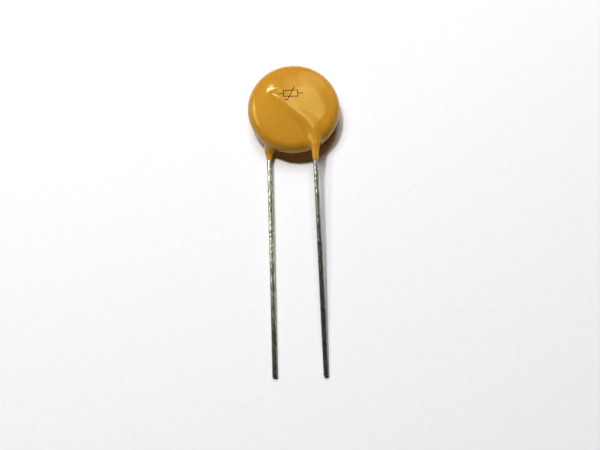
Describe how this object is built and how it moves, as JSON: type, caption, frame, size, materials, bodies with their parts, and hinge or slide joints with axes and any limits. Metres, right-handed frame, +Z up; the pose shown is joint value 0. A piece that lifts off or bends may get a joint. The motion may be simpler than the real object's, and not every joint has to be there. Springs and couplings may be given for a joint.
{
  "type": "metal oxide varistor",
  "caption": "Disc-shaped ceramic surge absorber in a glossy dipped epoxy coat, with two parallel round wire leads soldered to opposite faces and cut level.",
  "frame": {"origin": "on the surface that the part lies on, under the middle of the box of the whole part", "axes": "+Z up from the face that the part lies on, through the disc's thickness; +Y from the cut ends of the leads towards the disc; +X to the right with the leads pointing at the viewer"},
  "size_m": [0.0152, 0.0503, 0.0049],
  "materials": {
    "epoxy": "gloss",
    "zinc_oxide": "matte",
    "silver": "satin",
    "solder": "satin",
    "tinned_wire": "satin",
    "marking_ink": "matte"
  },
  "bodies": {
    "root": {"epoxy_coating": "epoxy", "ceramic_disc": "zinc_oxide", "electrode_front": "silver", "electrode_back": "silver", "solder_front": "solder", "solder_back": "solder", "lead_front": "tinned_wire", "lead_back": "tinned_wire"}
  },
  "joints": []
}
